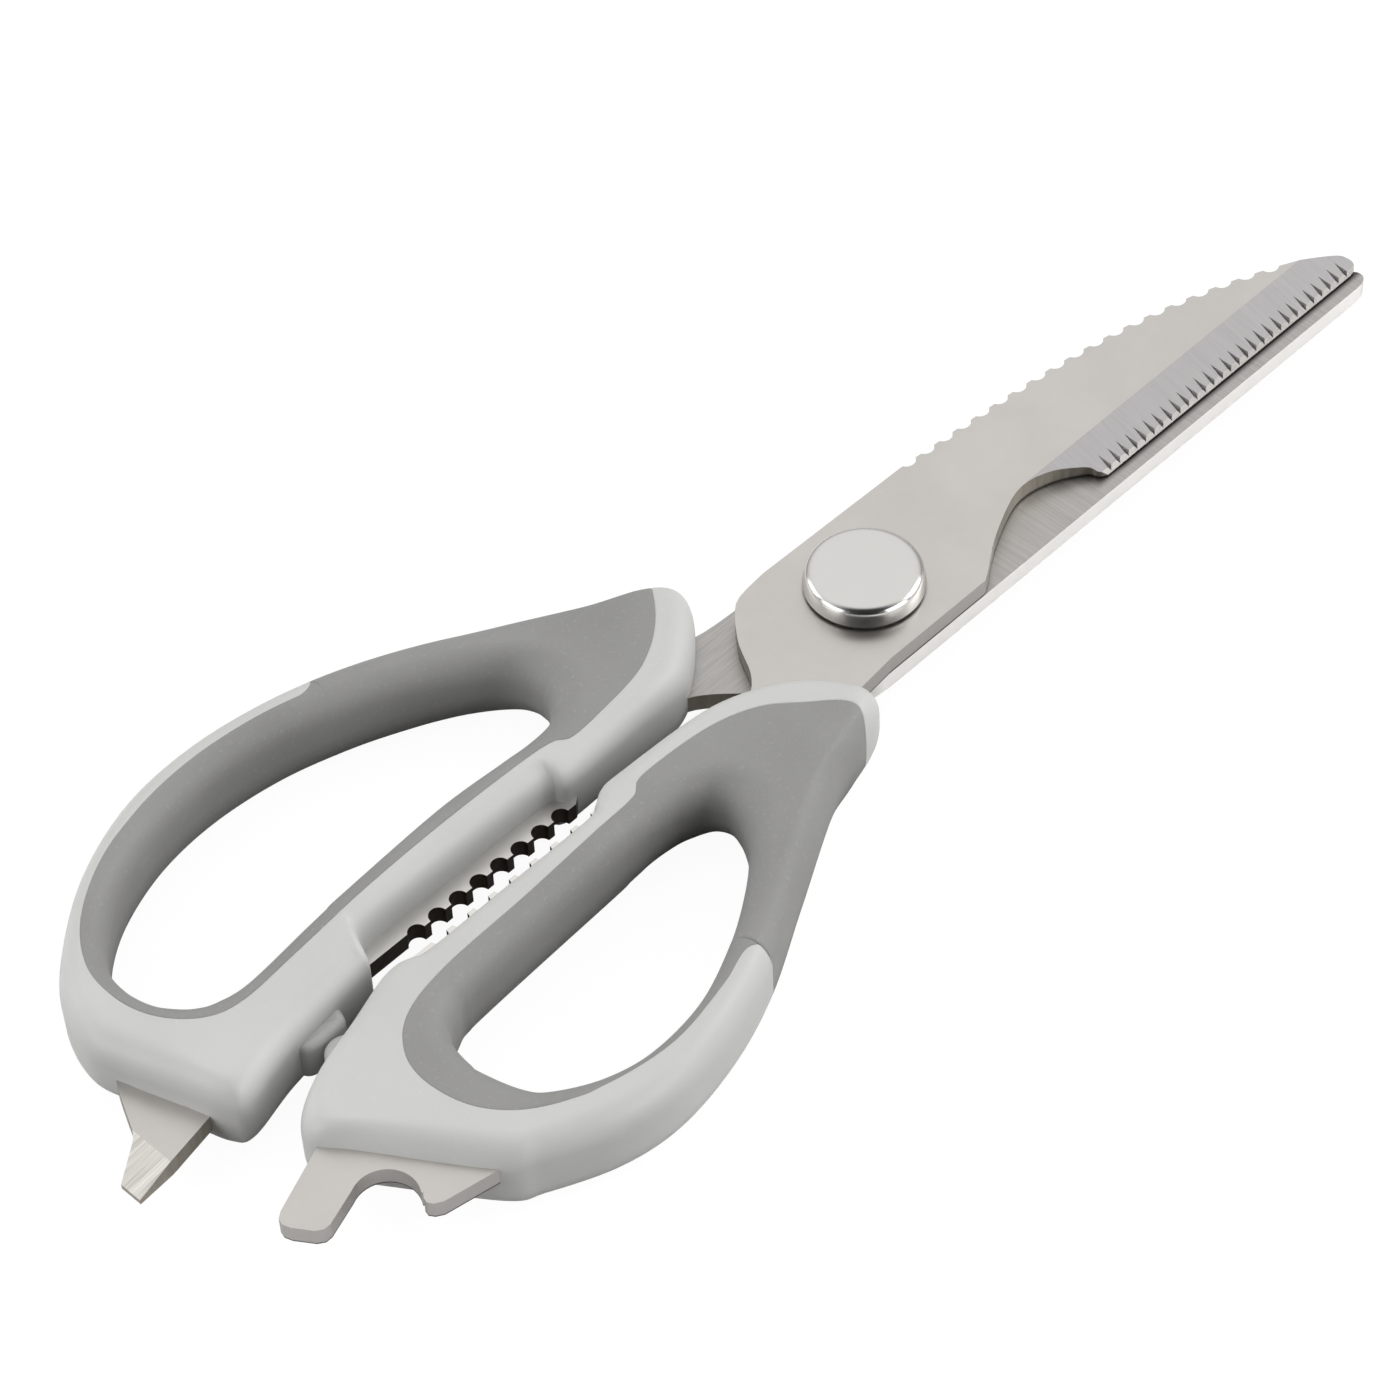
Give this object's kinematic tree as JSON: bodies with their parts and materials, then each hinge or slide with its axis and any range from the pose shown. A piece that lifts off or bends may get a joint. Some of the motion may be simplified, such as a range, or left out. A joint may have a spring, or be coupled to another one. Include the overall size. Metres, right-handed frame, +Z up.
{
  "type": "poultry shears",
  "caption": "Kitchen and poultry shears with a notched cutting blade, fish scaler spine, nutcracker teeth, bottle opener and screwdriver end, and soft-lined loop handles.",
  "frame": {"origin": "on the pivot axis, in the plane that the handles and the pivot nut lie on", "axes": "+X along the closed blades to their tips, +Y towards the finger loop, +Z up the pivot out of its cap"},
  "size_m": [0.2443, 0.0928, 0.014],
  "materials": {
    "blade_steel": "satin, fine ground",
    "shell_plastic": "smooth satin light grey",
    "soft_grip": "matte soft-touch mid grey",
    "pivot_steel": "turned steel",
    "cap_polish": "polished"
  },
  "bodies": {
    "finger_half": {"lower_blade": "blade_steel", "finger_shell": "shell_plastic", "finger_grip": "soft_grip", "pivot_washer": "pivot_steel", "pivot_screw": "pivot_steel", "pivot_cap": "cap_polish", "pivot_nut": "pivot_steel"},
    "thumb_half": {"upper_blade": "blade_steel", "thumb_shell": "shell_plastic", "thumb_grip": "soft_grip"}
  },
  "joints": [
    {"name": "blade_pivot", "type": "hinge", "parent": "finger_half", "child": "thumb_half", "pos_m": [0, 0, 0.007], "axis": [0, 0, 1], "range_deg": [0, 95]}
  ]
}
